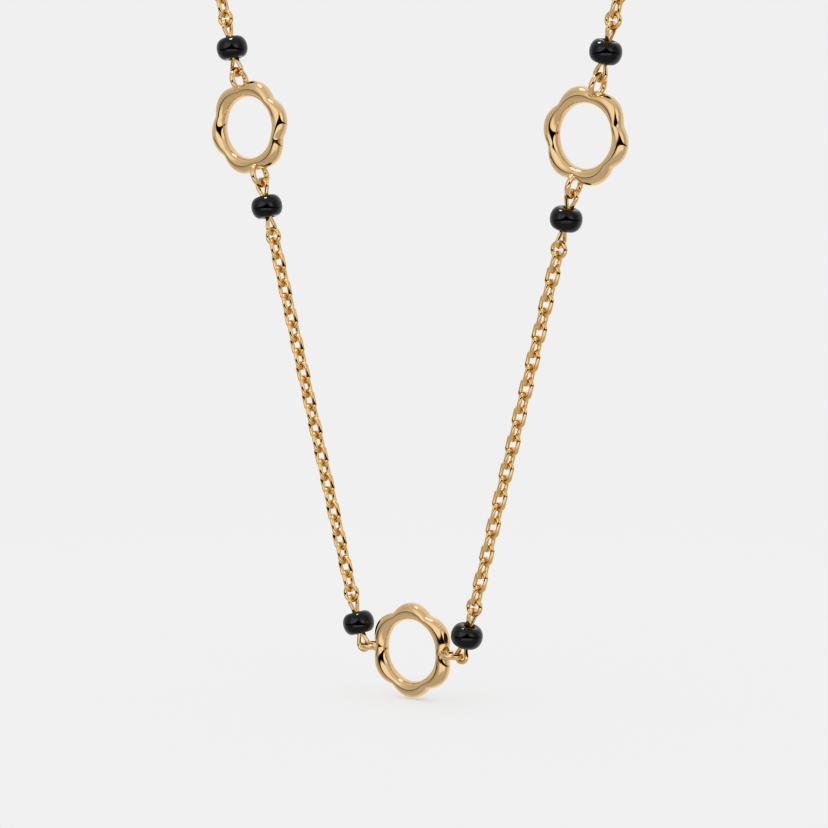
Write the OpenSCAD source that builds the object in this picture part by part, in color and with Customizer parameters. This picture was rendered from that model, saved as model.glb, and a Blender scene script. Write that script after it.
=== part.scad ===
// Mangalsutra: a fine cable chain with three open flower links, each between two black beads.
// Millimetres. It hangs as worn: the origin is the middle of the clasp at the nape, +Z is up,
// and the wearer faces -Y. Right-hand pieces are mirrored for the left.

/* [Flower] */
// Radius of the round hole
hole_r = 2.9; // [2.6:0.05:3.1]
// Radius at the tip of a lobe
lobe_r = 4.52; // [4.3:0.02:4.9]
// Radius at a valley between two lobes
valley_r = 4.02; // [3.8:0.02:4.2]
// Depth from front to back
flower_depth = 1.48; // [1.2:0.02:2]
// Softness of the valleys, 0 for a sharp crease
valley_soft = 0.12; // [0.05:0.01:0.5]
// Squareness of the rounded section, 2 for an oval
section_power = 2.06; // [2:0.02:3]

/* [Soldered ring] */
// Wire of the small rings soldered to a flower
ring_wire = 0.48; // [0.4:0.02:0.54]
// Radius of the ring, to the middle of its wire
ring_r = 1.02; // [0.92:0.02:1.1]
// How far the ring's wire sinks into the valley
ring_sink = 0.62; // [0.5:0.02:0.7]

/* [Bead] */
// Diameter of a bead
bead_d = 3.0; // [2.6:0.1:3.4]
// Thickness of a bead along its hole
bead_h = 2.08; // [1.8:0.02:2.2]
// Clearance between its hole and the wire inside
hole_play = 0.16; // [0.1:0.02:0.24]
// Radius of the rounding at each face
bead_round = 0.7; // [0.55:0.01:0.8]

/* [Pin] */
// Wire of the pins
pin_wire = 0.36; // [0.3:0.02:0.4]
// How far a loop's end stands out of the bead, to the middle of the wire
loop_out = 1.6; // [1.5:0.01:2]
// Radius of a loop, to the middle of its wire
loop_r = 0.56; // [0.52:0.02:0.64]
// How deep inside the bead a loop's two sides meet
loop_sunk = 0.54; // [0.44:0.02:0.64]
// How far the twisted wire inside the bead stands out past the feet of the loops
shank_rim = 0.03; // [0.02:0.01:0.06]

/* [Chain] */
// Distance from one link to the next
link_pitch = 1.346; // [1.33:0.002:1.37]
// Width of a link, outside
link_w = 1.44; // [1.4:0.02:1.54]
// Wire of the links
link_wire = 0.38; // [0.3:0.02:0.4]
// Flat cut off each corner of the square wire
link_cut = 0.12; // [0.08:0.01:0.14]
// Play left between pieces that hook into each other
play = 0.13; // [0.11:0.01:0.16]
// Links between the two end rings of a front chain
front_links = 25; // [15:2:39]
// Links after the end ring of a side chain
side_links = 84; // [70:2:90]

/* [Hanging form] */
// Lean of the two front arms from the vertical, in degrees
arm_lean = 15.5; // [12:0.5:20]
// Lean of the two lowest beads, in degrees
low_bead_lean = 17; // [14:0.5:24]
// Straight stretch of a side chain above its end ring
side_straight = 61; // [50:1:70]
// Radius of the bend over the shoulder
shoulder_r = 34; // [30:1:40]
// Turn of that bend towards the neck, in degrees
shoulder_turn = 20; // [12:1:26]
// Depth of the stretch behind the neck
nape_back = 27; // [22:1:34]
// Rise of the stretch behind the neck
nape_rise = 3.4; // [0:0.2:8]
// Gap left at each end of that stretch
nape_gap = 0.3; // [0.2:0.05:0.5]

/* [Clasp] */
// Length of the barrel
clasp_length = 7; // [6:0.5:10]
// Diameter of the barrel
clasp_d = 3; // [2.6:0.1:4]
// Wire of its two eyes
eye_wire = 0.4; // [0.34:0.02:0.5]
// Radius of an eye, to the middle of its wire
eye_r = 0.85; // [0.8:0.05:1]

/* [Hidden] */
$fn = 32;
gold = [0.86, 0.67, 0.36];
black = [0.08, 0.08, 0.09];

// The stretch behind the neck, past the side chain's end: shares of its width, and of its depth
// and rise
nape_route = [[0.92, 0.76], [0.81, 0.54], [0.68, 0.36], [0.53, 0.2], [0.36, 0.09], [0.24, 0.03]];
tube_sides = 8;
rings_a_span = 2;

// Facets round a flower and round its section
flower_steps = 72;
section_steps = 18;
lobes = 6;

// A pin's loop: the heights of its end, of its round's middle and of its foot above the bead's
// middle, and the lean of its two sides
pin_reach = bead_h / 2 + loop_out;
loop_middle = pin_reach - loop_r;
loop_foot = bead_h / 2 - loop_sunk;
loop_rise = loop_middle - loop_foot;
loop_spread = asin(loop_r / loop_rise);
side_wire = 0.94 * pin_wire; // its straight sides are drawn a little thinner
side_lap = pin_wire / 8; // and run this far into the round end
shank_r = pin_wire / 2 * (1 + sin(loop_spread)) / cos(loop_spread) + shank_rim;
bead_hole_r = shank_r + hole_play;

// The round ring that ends a chain: its hole takes a pin's wire, a link's wire and the play
end_hole = pin_wire + link_wire + 3 * play;
end_ring_r = (end_hole + link_wire) / 2;

// Hooking distances, from the middle of one wire or ring to the middle of the next
hook_ring = ring_wire / 2 + play + pin_wire / 2;
hook_pin = end_hole / 2 - play - pin_wire / 2;
hook_link = end_hole / 2 - play - link_wire / 2;
link_inner = link_pitch + play;
link_reach = (link_inner + link_wire) / 2;
ring_at = valley_r + ring_r + ring_wire / 2 - ring_sink;
ring_tip = ring_at + ring_r;

// Distances along an arm between the middles of its pieces
bead_to_flower = pin_reach + ring_tip - hook_ring;
bead_to_end_ring = pin_reach + hook_pin;
end_ring_to_link = hook_link + link_reach;
front_length = 2 * end_ring_to_link + (front_links - 1) * link_pitch;
side_length = end_ring_to_link + (side_links - 1) * link_pitch + link_reach + link_wire / 2;

// Places on the right arm, from the middle of the lowest flower
function leaning(angle) = [sin(angle), 0, cos(angle)];
up_arm = leaning(arm_lean);
low_bead = [ring_tip, 0, 0] + (pin_reach - hook_ring) * leaning(low_bead_lean);
front_start = low_bead + pin_reach * leaning(low_bead_lean) + hook_pin * up_arm;
mid_bead = front_start + (front_length + bead_to_end_ring) * up_arm;
flower_at = mid_bead + bead_to_flower * up_arm;
top_bead = flower_at + bead_to_flower * up_arm;
side_start = top_bead + bead_to_end_ring * up_arm;

// The bend over the shoulder: an arc that leaves the arm and turns back towards the neck
inward = [-cos(arm_lean), 0, sin(arm_lean)];
bend_to = cos(shoulder_turn) * [0, 1, 0] + sin(shoulder_turn) * inward;
bend_axis = cross(up_arm, bend_to);
bend_start = side_start + side_straight * up_arm;
function bend_angle(along) = (along - side_straight) / shoulder_r * 180 / PI;
function on_bend(angle) = bend_start + shoulder_r * (sin(angle) * up_arm + (1 - cos(angle)) * bend_to);
function side_point(along) =
    along < side_straight ? side_start + along * up_arm : on_bend(bend_angle(along));
side_end = side_point(side_length);

// The origin at the nape, and the middle of the lowest flower seen from it
origin_from_flower = [0, side_end.y + nape_back, side_end.z + nape_rise];

// The route behind the neck, from the side chain's end to the clasp's eye
eye_at = clasp_length / 2 + eye_r;
eye_tip = eye_at + eye_r + eye_wire / 2;
tube_lead = shoulder_r / 8; // past each end of the tube, to steer it
tube_start = side_point(side_length + nape_gap) - origin_from_flower;
tube_before = side_point(side_length - tube_lead) - origin_from_flower;
tube_end = [eye_tip + nape_gap, 0, 0];
nape_points = concat(
    [tube_before, tube_start],
    [for (share = nape_route) [share[0] * side_end.x, -share[1] * nape_back, -share[1] * nape_rise]],
    [tube_end, tube_end - [tube_lead, 0, 0]]
);
function smooth(p, t) = 0.5 * (2 * p[1] + (p[2] - p[0]) * t
    + (2 * p[0] - 5 * p[1] + 4 * p[2] - p[3]) * t ^ 2 + (3 * p[1] - p[0] - 3 * p[2] + p[3]) * t ^ 3);
function span(k) = [for (i = [0 : 3]) nape_points[k + i]];
tube_path = concat(
    [for (k = [0 : len(nape_points) - 4], i = [0 : rings_a_span - 1]) smooth(span(k), i / rings_a_span)],
    [tube_end]
);

function unit(v) = v / norm(v);

// A flower's outline: 1 at a lobe's tip, 0 at the bottom of a valley
function swell(angle) =
    let (wave = abs(cos(lobes / 2 * angle)), low = valley_soft)
    (sqrt(wave ^ 2 + low ^ 2) - low) / (sqrt(1 + low ^ 2) - low);
function rounded(value) = sign(value) * abs(value) ^ (2 / section_power);

// One point of the flower's skin, at an angle round the flower and one round its section
function skin(angle, turn) =
    let (
        outer = valley_r + (lobe_r - valley_r) * swell(angle - 180 / lobes),
        r = (outer + hole_r) / 2 + (outer - hole_r) / 2 * rounded(cos(turn))
    )
    [r * cos(angle), -flower_depth / 2 * rounded(sin(turn)), r * sin(angle)];

// The puffed ring with its lobes, in the XZ plane with two valleys on the X axis
module lobed_ring() {
    n = flower_steps;
    m = section_steps;
    points = [for (i = [0 : n - 1], j = [0 : m - 1]) skin(360 * i / n, 360 * j / m)];
    faces = [for (i = [0 : n - 1], j = [0 : m - 1])
        [i * m + j, i * m + (j + 1) % m, (i + 1) % n * m + (j + 1) % m, (i + 1) % n * m + j]];
    polyhedron(points, faces, convexity = 6);
}

// A round ring of round wire, lying in the XY plane
module wire_ring(radius, wire) {
    rotate_extrude() translate([radius, 0]) circle(d = wire);
}

// A flower with a ring soldered at each of its two end valleys
module flower() {
    color(gold) union() {
        lobed_ring();
        for (side = [-1, 1]) translate([side * ring_at, 0, 0]) wire_ring(ring_r, ring_wire);
    }
}

// A bead, standing on its hole's axis
module bead() {
    edge_x = bead_d / 2 - bead_round;
    edge_z = bead_h / 2 - bead_round;
    color(black) rotate_extrude() difference() {
        union() {
            for (side = [-1, 1]) translate([edge_x, side * edge_z]) circle(bead_round);
            translate([0, -edge_z]) square([bead_d / 2, 2 * edge_z]);
        }
        translate([-bead_d, -bead_h]) square([bead_d + bead_hole_r, 2 * bead_h]);
    }
}

// One teardrop loop, upright in the XZ plane above a pin's middle
module pin_loop() {
    translate([0, 0, loop_middle]) rotate([90, 0, 0]) rotate([0, 0, -loop_spread])
        rotate_extrude(angle = 180 + 2 * loop_spread) translate([loop_r, 0]) circle(d = pin_wire);
    for (side = [-1, 1]) translate([0, 0, loop_foot]) rotate([0, side * loop_spread, 0])
        cylinder(h = loop_rise * cos(loop_spread) + side_lap, d = side_wire);
}

// A pin: a wire through the bead, its lower loop in the plane of the arms, its upper one across
module pin() {
    color(gold) union() {
        cylinder(h = 2 * loop_foot + pin_wire, r = shank_r, center = true);
        mirror([0, 0, 1]) pin_loop();
        rotate([0, 0, 90]) pin_loop();
    }
}

// The section of the links' wire: a square with its corners cut off
module cut_wire() {
    a = link_wire / 2;
    b = a - link_cut;
    polygon([[a, -b], [a, b], [b, a], [-b, a], [-a, b], [-a, -b], [-b, -a], [b, -a]]);
}

// One link, upright in the XZ plane
module chain_link() {
    bend_r = (link_w - link_wire) / 2;
    half_bar = link_reach - bend_r;
    for (end = [0, 1]) mirror([0, 0, end]) translate([0, 0, half_bar]) rotate([90, 0, 0])
        rotate_extrude(angle = 180) translate([bend_r, 0]) cut_wire();
    for (side = [-1, 1]) translate([side * bend_r, 0, -half_bar])
        linear_extrude(2 * half_bar) cut_wire();
}

// The round ring that ends a chain, upright in the XZ plane
module end_ring() {
    rotate([90, 0, 0]) wire_ring(end_ring_r, link_wire);
}

// Stands a piece at a place seen from the lowest flower, leaning along the right arm
module stand_at(place, lean) {
    translate(place - origin_from_flower) rotate([0, lean, 0]) children();
}

// Stands a piece on the side chain's route, upright along it
module on_side(along) {
    angle = max(0, bend_angle(along));
    translate(side_point(along) - origin_from_flower) rotate(a = angle, v = bend_axis)
        rotate([0, arm_lean, 0]) children();
}

// Links turned by turns, from the first one past an end ring
function quarter(index) = index % 2 == 0 ? 90 : 0;

module front_chain() {
    color(gold) {
        stand_at(front_start, arm_lean) end_ring();
        for (i = [0 : front_links - 1])
            stand_at(front_start + (end_ring_to_link + i * link_pitch) * up_arm, arm_lean)
                rotate([0, 0, quarter(i)]) chain_link();
        stand_at(front_start + front_length * up_arm, arm_lean) end_ring();
    }
}

module side_chain() {
    color(gold) {
        on_side(0) end_ring();
        for (i = [0 : side_links - 1])
            on_side(end_ring_to_link + i * link_pitch) rotate([0, 0, quarter(i)]) chain_link();
    }
}

// The plain tube that stands for the links behind the neck
module nape_chain() {
    n = len(tube_path);
    m = tube_sides;
    up = [0, 0, 1];
    points = [for (i = [0 : n - 1], j = [0 : m - 1])
        let (
            ahead = unit(tube_path[min(i + 1, n - 1)] - tube_path[max(i - 1, 0)]),
            across = unit(cross(ahead, up)),
            over = cross(across, ahead),
            turn = 360 * j / m
        )
        tube_path[i] + link_w / 2 * (cos(turn) * across + sin(turn) * over)];
    sides = [for (i = [0 : n - 2], j = [0 : m - 1])
        [i * m + j, i * m + (j + 1) % m, (i + 1) * m + (j + 1) % m, (i + 1) * m + j]];
    ends = [[for (j = [m - 1 : -1 : 0]) j], [for (j = [0 : m - 1]) (n - 1) * m + j]];
    color(gold) polyhedron(points, concat(sides, ends), convexity = 4);
}

// A plain barrel clasp with an eye at each end
module clasp() {
    color(gold) union() {
        rotate([0, 90, 0]) cylinder(h = clasp_length, d = clasp_d, center = true);
        for (side = [-1, 1]) translate([side * eye_at, 0, 0]) wire_ring(eye_r, eye_wire);
    }
}

module left() {
    mirror([1, 0, 0]) children();
}

stand_at([0, 0, 0], 0) flower();  // flower_center
left() stand_at(flower_at, arm_lean - 90) flower();  // flower_left
stand_at(flower_at, arm_lean - 90) flower();  // flower_right
left() stand_at(low_bead, low_bead_lean) bead();  // bead_low_left
stand_at(low_bead, low_bead_lean) bead();  // bead_low_right
left() stand_at(mid_bead, arm_lean) bead();  // bead_mid_left
stand_at(mid_bead, arm_lean) bead();  // bead_mid_right
left() stand_at(top_bead, arm_lean) bead();  // bead_top_left
stand_at(top_bead, arm_lean) bead();  // bead_top_right
left() stand_at(low_bead, low_bead_lean) pin();  // pin_low_left
stand_at(low_bead, low_bead_lean) pin();  // pin_low_right
left() stand_at(mid_bead, arm_lean + 180) pin();  // pin_mid_left
stand_at(mid_bead, arm_lean + 180) pin();  // pin_mid_right
left() stand_at(top_bead, arm_lean) pin();  // pin_top_left
stand_at(top_bead, arm_lean) pin();  // pin_top_right
left() front_chain();  // chain_front_left
front_chain();  // chain_front_right
left() side_chain();  // chain_side_left
side_chain();  // chain_side_right
left() nape_chain();  // chain_nape_left
nape_chain();  // chain_nape_right
clasp();
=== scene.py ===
# %% [markdown]
# A mangalsutra: a fine gold cable chain with three open flower links, each between two black
# beads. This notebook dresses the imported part, piece by piece, so that it looks as the real
# necklace does in soft studio light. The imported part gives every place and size. What is made
# here gives what a plain solid can't: smooth metal, polished stone, and light to mirror.
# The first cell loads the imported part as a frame, and keeps its box to compare with at the end.

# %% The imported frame
import math

import bmesh
import bpy
from mathutils import Matrix, Vector


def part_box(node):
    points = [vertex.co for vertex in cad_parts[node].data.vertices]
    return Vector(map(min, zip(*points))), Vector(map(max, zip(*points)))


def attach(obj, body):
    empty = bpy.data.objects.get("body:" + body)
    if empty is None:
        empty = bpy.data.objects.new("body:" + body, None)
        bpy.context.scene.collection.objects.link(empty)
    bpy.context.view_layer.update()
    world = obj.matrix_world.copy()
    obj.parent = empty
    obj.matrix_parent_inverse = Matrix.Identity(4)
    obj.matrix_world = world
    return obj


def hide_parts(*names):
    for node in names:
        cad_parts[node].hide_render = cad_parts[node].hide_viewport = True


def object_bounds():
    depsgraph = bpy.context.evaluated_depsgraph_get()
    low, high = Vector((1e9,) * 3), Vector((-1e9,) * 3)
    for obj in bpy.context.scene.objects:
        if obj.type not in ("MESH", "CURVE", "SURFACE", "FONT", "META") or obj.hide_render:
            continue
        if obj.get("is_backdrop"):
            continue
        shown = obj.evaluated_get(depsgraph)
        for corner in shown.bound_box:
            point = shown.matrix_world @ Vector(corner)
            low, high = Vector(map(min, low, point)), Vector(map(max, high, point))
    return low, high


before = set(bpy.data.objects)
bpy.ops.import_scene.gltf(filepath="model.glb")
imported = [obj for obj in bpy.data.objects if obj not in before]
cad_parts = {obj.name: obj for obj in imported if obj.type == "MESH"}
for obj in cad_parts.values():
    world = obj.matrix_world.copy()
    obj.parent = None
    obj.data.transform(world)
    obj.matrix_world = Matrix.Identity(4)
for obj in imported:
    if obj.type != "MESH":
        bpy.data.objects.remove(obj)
cad_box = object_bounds()
print("nodes in the frame:", len(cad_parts))

# %% [markdown]
# Sizes. A jeweller notes each wire and bead in millimetres before starting, and so does this
# cell. They are the sizes of the part's own source, because the dressed pieces have to lie on
# its solids. Everything below is modelled in millimetres, and is brought to metres only when a
# finished piece is put in its place. The shown wires are up to a tenth of a millimetre thicker
# than the solids' ones, and the links and rings bent from them a little tighter, because hanging
# links touch, and the solids may not.

# %% Sizes in millimetres
MM = 0.001
HOLE_R, LOBE_R, VALLEY_R, FLOWER_DEPTH = 2.9, 4.52, 4.02, 1.48
VALLEY_SOFT, SQUARENESS, LOBES = 0.12, 2.06, 6
RING_WIRE, RING_R, RING_SINK = 0.48, 1.02, 0.62
BEAD_D, BEAD_H = 3.0, 2.08
PIN_WIRE, LOOP_OUT, LOOP_R, LOOP_SUNK, SHANK_RIM, HOLE_PLAY = 0.36, 1.6, 0.56, 0.54, 0.03, 0.16
PITCH, LINK_WIRE, PLAY = 1.346, 0.38, 0.13
FRONT_LINKS, SIDE_LINKS = 25, 84
ARM_LEAN, LOW_LEAN, SIDE_STRAIGHT, SHOULDER_R, SHOULDER_TURN = 15.5, 17.0, 61.0, 34.0, 20.0
NAPE_BACK, NAPE_RISE, NAPE_GAP = 27.0, 3.4, 0.3
CLASP_LENGTH, CLASP_D, EYE_WIRE, EYE_R = 7.0, 3.0, 0.4, 0.85
NAPE_SHARES = [(0.92, 0.76), (0.81, 0.54), (0.68, 0.36), (0.53, 0.2), (0.36, 0.09), (0.24, 0.03)]

PIN_REACH = BEAD_H / 2 + LOOP_OUT
LOOP_MIDDLE = PIN_REACH - LOOP_R
LOOP_FOOT = BEAD_H / 2 - LOOP_SUNK
LOOP_SPREAD = math.asin(LOOP_R / (LOOP_MIDDLE - LOOP_FOOT))
SHANK_R = PIN_WIRE / 2 * (1 + math.sin(LOOP_SPREAD)) / math.cos(LOOP_SPREAD) + SHANK_RIM
BEAD_HOLE_R = SHANK_R + HOLE_PLAY
END_HOLE = PIN_WIRE + LINK_WIRE + 3 * PLAY
LINK_REACH = (PITCH + PLAY + LINK_WIRE) / 2
RING_AT = VALLEY_R + RING_R + RING_WIRE / 2 - RING_SINK
RING_TIP = RING_AT + RING_R
HOOK_RING = RING_WIRE / 2 + PLAY + PIN_WIRE / 2
HOOK_PIN = END_HOLE / 2 - PLAY - PIN_WIRE / 2
HOOK_LINK = END_HOLE / 2 - PLAY - LINK_WIRE / 2
SHOWN_PIN, SHOWN_LINK, SHOWN_LINK_W, SHOWN_CUT, SHOWN_END_R = 0.43, 0.43, 1.49, 0.14, 0.69
SHOWN_PLAY = 0.02
SHOWN_REACH = (PITCH + SHOWN_PLAY + SHOWN_LINK) / 2
SHOWN_RING, SHOWN_RING_R = 0.58, 0.98
BEAD_TO_FLOWER = PIN_REACH + RING_TIP - HOOK_RING
BEAD_TO_END_RING = PIN_REACH + HOOK_PIN
RING_TO_LINK = HOOK_LINK + LINK_REACH
FRONT_LENGTH = 2 * RING_TO_LINK + (FRONT_LINKS - 1) * PITCH
SIDE_LENGTH = RING_TO_LINK + (SIDE_LINKS - 1) * PITCH + LINK_REACH + LINK_WIRE / 2
print("front chain", round(FRONT_LENGTH, 2), "mm, side chain", round(SIDE_LENGTH, 2), "mm")

# %% [markdown]
# Places. The necklace hangs from the nape, so the two arms are straight lines under their own
# weight, and everything on an arm is found by walking along it. The places are worked out for
# the right arm, from the middle of the lowest flower, and the left arm is its mirror image.


# %% Places on the right arm
def leaning(degrees):
    angle = math.radians(degrees)
    return Vector((math.sin(angle), 0, math.cos(angle)))


UP_ARM = leaning(ARM_LEAN)
LOW_BEAD = Vector((RING_TIP, 0, 0)) + (PIN_REACH - HOOK_RING) * leaning(LOW_LEAN)
FRONT_START = LOW_BEAD + PIN_REACH * leaning(LOW_LEAN) + HOOK_PIN * UP_ARM
MID_BEAD = FRONT_START + (FRONT_LENGTH + BEAD_TO_END_RING) * UP_ARM
FLOWER_AT = MID_BEAD + BEAD_TO_FLOWER * UP_ARM
TOP_BEAD = FLOWER_AT + BEAD_TO_FLOWER * UP_ARM
SIDE_START = TOP_BEAD + BEAD_TO_END_RING * UP_ARM
INWARD = Vector((-math.cos(math.radians(ARM_LEAN)), 0, math.sin(math.radians(ARM_LEAN))))
TURN = math.radians(SHOULDER_TURN)
BEND_TO = math.cos(TURN) * Vector((0, 1, 0)) + math.sin(TURN) * INWARD
BEND_START = SIDE_START + SIDE_STRAIGHT * UP_ARM


def side_point(along):
    """A point of the side chain's line: straight up the arm, then round the shoulder."""
    if along < SIDE_STRAIGHT:
        return SIDE_START + along * UP_ARM
    angle = (along - SIDE_STRAIGHT) / SHOULDER_R
    return BEND_START + SHOULDER_R * (math.sin(angle) * UP_ARM + (1 - math.cos(angle)) * BEND_TO)


SIDE_END = side_point(SIDE_LENGTH)
NAPE_FROM_FLOWER = Vector((0, SIDE_END.y + NAPE_BACK, SIDE_END.z + NAPE_RISE))
LOWEST_FLOWER = -NAPE_FROM_FLOWER
print("lowest flower, from the nape:", [round(v, 2) for v in LOWEST_FLOWER])

# %% [markdown]
# Camera. The necklace is seen from its right, a little from above, through a long lens, so the
# two arms look nearly parallel in depth and the flowers read as slender ovals. The eye's
# direction is given as a turn round the necklace and a height above the horizon, and a matrix
# built from that direction keeps the camera upright without any tracking.

# %% Camera
VIEW_TURN, VIEW_HEIGHT = math.radians(36.4), math.radians(6.25)
VIEW_DISTANCE, VIEW_LIFT, VIEW_SIDE = 351.5, 22.24, 0.17
LENS_LENGTH, NEAREST_SEEN = 164.5, 10.0
camera_back = Vector((
    math.sin(VIEW_TURN) * math.cos(VIEW_HEIGHT),
    -math.cos(VIEW_TURN) * math.cos(VIEW_HEIGHT),
    math.sin(VIEW_HEIGHT),
))
camera_right = Vector((math.cos(VIEW_TURN), math.sin(VIEW_TURN), 0))
camera_up = camera_back.cross(camera_right)
camera_at = LOWEST_FLOWER + Vector((0, 0, VIEW_LIFT)) + camera_back * VIEW_DISTANCE
camera_at = (camera_at + camera_right * VIEW_SIDE) * MM
lens = bpy.data.cameras.new("camera")
lens.lens = LENS_LENGTH
lens.clip_start = NEAREST_SEEN * MM
camera = bpy.data.objects.new("camera", lens)
turned = Matrix((camera_right, camera_up, camera_back)).transposed().to_4x4()
camera.matrix_world = Matrix.Translation(camera_at) @ turned
bpy.context.scene.collection.objects.link(camera)
bpy.context.scene.camera = camera
print("camera at", [round(v, 4) for v in camera_at])

# %% [markdown]
# Node helpers. Shader trees and geometry trees are drawn by hand in Blender's editor, but here
# they are written. Three small helpers keep that readable: one adds a node and fills its
# inputs, one adds a sum, and one makes a group with named sockets.


# %% Node helpers
def add(tree, kind, inputs=None, **settings):
    """Adds a node, sets its options, and fills inputs by name or number with a value or a socket."""
    node = tree.nodes.new(kind)
    for name, value in settings.items():
        setattr(node, name, value)
    for name, value in (inputs or {}).items():
        if isinstance(value, bpy.types.NodeSocket):
            tree.links.new(value, node.inputs[name])
        else:
            node.inputs[name].default_value = value
    return node


def calc(tree, operation, *values):
    """One sum of a tree: the operation's name, and its values or sockets. Returns the result."""
    return add(tree, "ShaderNodeMath", dict(enumerate(values)), operation=operation).outputs[0]


def ramp(tree, value, low, high, start=0.0, end=1.0):
    """Goes smoothly from start to end as the value goes from low to high."""
    inputs = {"Value": value, "From Min": low, "From Max": high, "To Min": start, "To Max": end}
    return add(tree, "ShaderNodeMapRange", inputs, interpolation_type="SMOOTHSTEP").outputs[0]


def blend_colours(tree, share, first, second):
    """Mixes two colours, all of the second where the share is 1."""
    node = add(tree, "ShaderNodeMix", {0: share, 6: first, 7: second}, data_type="RGBA")
    return node.outputs[2]


SOCKETS = {
    "float": "NodeSocketFloat", "int": "NodeSocketInt", "colour": "NodeSocketColor",
    "geometry": "NodeSocketGeometry", "material": "NodeSocketMaterial",
}


def new_group(name, kind, inputs, outputs):
    """A node group with named sockets, and its input and output nodes."""
    tree = bpy.data.node_groups.new(name, kind)
    for label, socket in inputs:
        tree.interface.new_socket(label, in_out="INPUT", socket_type=SOCKETS[socket])
    for label, socket in outputs:
        tree.interface.new_socket(label, in_out="OUTPUT", socket_type=SOCKETS[socket])
    return tree, tree.nodes.new("NodeGroupInput").outputs, tree.nodes.new("NodeGroupOutput").inputs


def grey(level):
    return (level, level, level, 1.0)


# %% [markdown]
# The room that the gold mirrors. Polished gold has hardly any colour of its own making: it
# shows its surroundings, tinted. On a real table it would stand in a tent of white cloth with
# dark gaps, which draw the thin dark lines and the black wedges that make metal read as metal.
# Here the tent is the world itself. Each panel of it is a soft-edged patch given by its turn
# round the necklace and its height above the horizon, so it can be moved like a real card.
# Camera rays see a plain pale backdrop instead.


# %% A soft-edged panel of the studio
def make_panel_group():
    edges = ["Turn", "Height", "Left", "Right", "Bottom", "Top", "Side softness", "Bottom softness",
             "Top softness"]
    tree, given, out = new_group(
        "studio panel", "ShaderNodeTree", [(e, "float") for e in edges], [("Cover", "float")])
    insides = (
        (calc(tree, "SUBTRACT", given["Turn"], given["Left"]), "Side softness"),
        (calc(tree, "SUBTRACT", given["Right"], given["Turn"]), "Side softness"),
        (calc(tree, "SUBTRACT", given["Height"], given["Bottom"]), "Bottom softness"),
        (calc(tree, "SUBTRACT", given["Top"], given["Height"]), "Top softness"),
    )
    cover = None
    for inside, softness in insides:
        edge = ramp(tree, calc(tree, "DIVIDE", inside, given[softness]), -0.5, 0.5)
        cover = edge if cover is None else calc(tree, "MULTIPLY", cover, edge)
    tree.links.new(cover, out["Cover"])
    return tree


studio_panel = make_panel_group()
WALL, TABLE = 0.83, 0.67
# In degrees: left, right, bottom, top, softness of the sides, of the bottom and of the top. Then
# the brightness
PANELS = [
    (-210, -112, -90, 100, 26, 10, 10, 1.07),
    (127, 210, -90, 100, 22, 10, 10, 0.99),
    (-112, -68, -90, 2, 20, 10, 8, 0.88),
    (88, 124, -90, 42, 16, 10, 20, 0.63),
    (-66, -38, -6, 36, 14, 4, 14, 0.67),
    (-24, 30, -4, 38, 16, 4, 22, 1.47),
    (52, 82, -4, 32, 10, 4, 18, 1.54),
    (-58, -26, -26, -6, 16, 12, 2, 0.54),
    (-4, 74, -24, -6, 26, 16, 2, 1.47),
]

# %% [markdown]
# The tent's opening. A tent is open where the lens looks in, and the dark room behind it shows
# there: a thin slit just above the table that widens to a peak. The lobes of a flower mirror it
# as one dark line each, and the beads as a dark wedge on the line of the horizon. It isn't a
# soft patch as the panels are, so it has a group of its own, which follows the slit's outline.


# %% The opening's outline
OVER_FROM, OVER_TO = 0.72, 1.5
TABLE_EDGE = 1.2
CLOSED_FROM, CLOSED_TO = 60, 135


def make_opening_group():
    names = ["Turn", "Height", "Middle", "Floor edge", "Floor dip", "Slit", "Peak", "Spread"]
    tree, given, out = new_group(
        "tent opening", "ShaderNodeTree", [(n, "float") for n in names], [("Light", "float")])
    aside = calc(tree, "ABSOLUTE", calc(tree, "SUBTRACT", given["Turn"], given["Middle"]))
    edge = calc(tree, "SUBTRACT", given["Floor edge"], calc(tree, "MULTIPLY", aside, given["Floor dip"]))
    fall = calc(tree, "POWER", 0.5, calc(tree, "DIVIDE", aside, given["Spread"]))
    gap = calc(tree, "MULTIPLY_ADD", given["Peak"], fall, given["Slit"])
    above = calc(tree, "SUBTRACT", given["Height"], edge)
    over = ramp(tree, calc(tree, "DIVIDE", above, gap), OVER_FROM, OVER_TO)
    under = ramp(tree, above, -TABLE_EDGE, TABLE_EDGE, 1.0, 0.0)
    lit = calc(tree, "MAXIMUM", over, under)
    far = ramp(tree, aside, CLOSED_FROM, CLOSED_TO)
    tree.links.new(calc(tree, "MAXIMUM", lit, far), out["Light"])
    return tree


tent_opening = make_opening_group()
OPENING = {
    "Middle": 35.0, "Floor edge": -7.3, "Floor dip": 0.025, "Slit": 3.0, "Peak": 30.0, "Spread": 16.0,
}
print("the opening's middle is", OPENING["Middle"], "degrees round")

# %% [markdown]
# The world. It starts as a wall of white cloth with a slightly darker table under it, lays each
# panel over that, and lastly cuts the opening. A ray that has met the necklace or the board sees
# the tent. A ray straight from the camera sees the backdrop, as bright as white card in a studio.

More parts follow.
